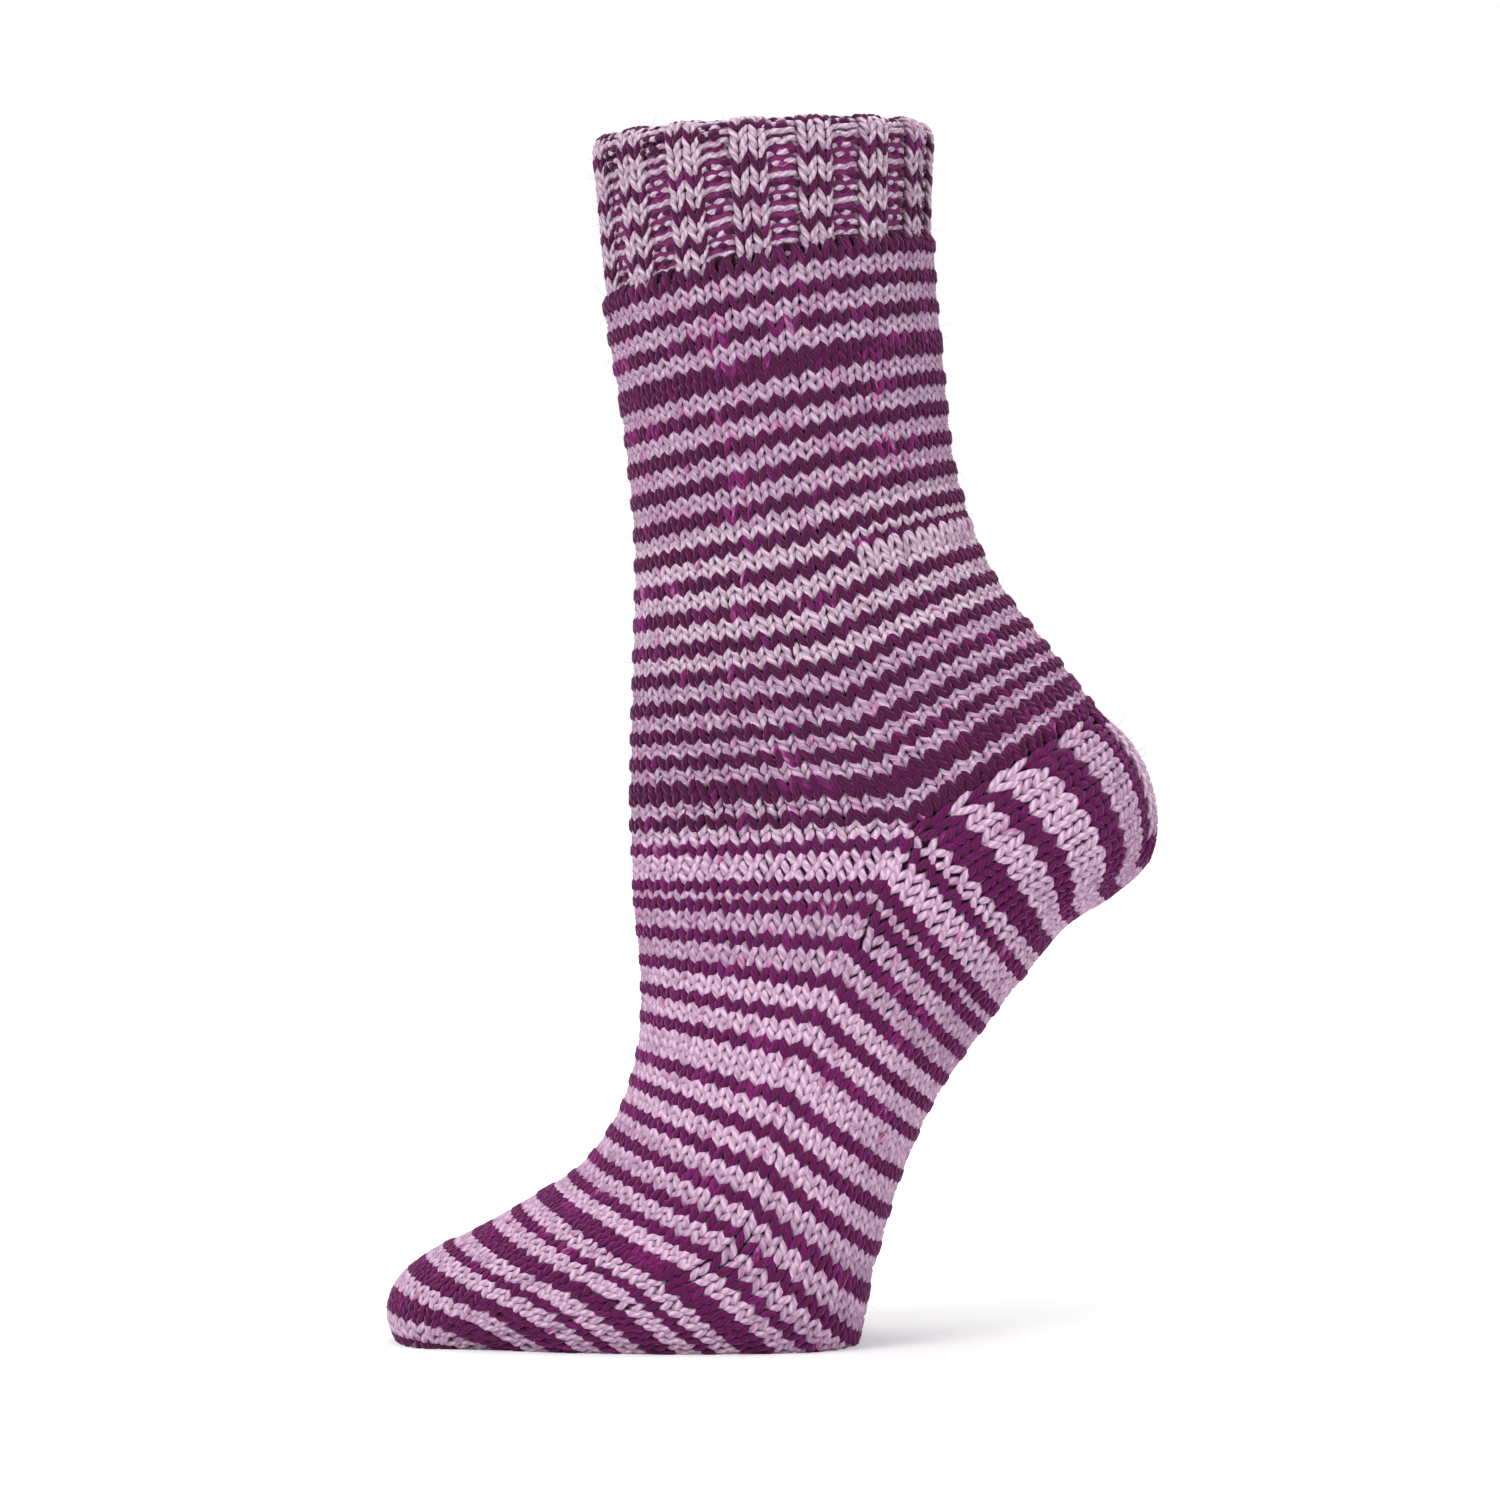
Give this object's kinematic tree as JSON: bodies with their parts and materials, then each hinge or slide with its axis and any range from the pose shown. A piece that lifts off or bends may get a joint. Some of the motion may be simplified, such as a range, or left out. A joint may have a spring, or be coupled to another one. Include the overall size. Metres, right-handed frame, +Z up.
{
  "type": "knitted sock on display foot",
  "caption": "Hand-knitted striped sock with a ribbed cuff, turned heel and grafted toe, pulled over a hollow tiptoe foot form that holds it upright for display",
  "frame": {"origin": "centre of the bounding box at floor level, under the standing sock", "axes": "+Z up from the toes to the cuff, -X towards the toe tip, +X towards the heel, Y across the foot"},
  "size_m": [0.1791, 0.086, 0.2842],
  "materials": {
    "form_plastic": "matte white moulded plastic",
    "ribbed_yarn": "soft plied wool yarn in ribbing, plum and lilac stripes",
    "knitted_yarn": "soft plied wool yarn in stocking stitch, plum and lilac stripes",
    "heel_yarn": "soft plied wool yarn in wide plum and lilac stripes"
  },
  "bodies": {
    "root": {"foot_form": "form_plastic", "cuff_ribbing": "ribbed_yarn", "leg_tube": "knitted_yarn", "heel_flap": "heel_yarn", "heel_back_band": "heel_yarn", "instep": "knitted_yarn", "sole": "knitted_yarn", "toe_cap": "knitted_yarn"}
  },
  "joints": []
}
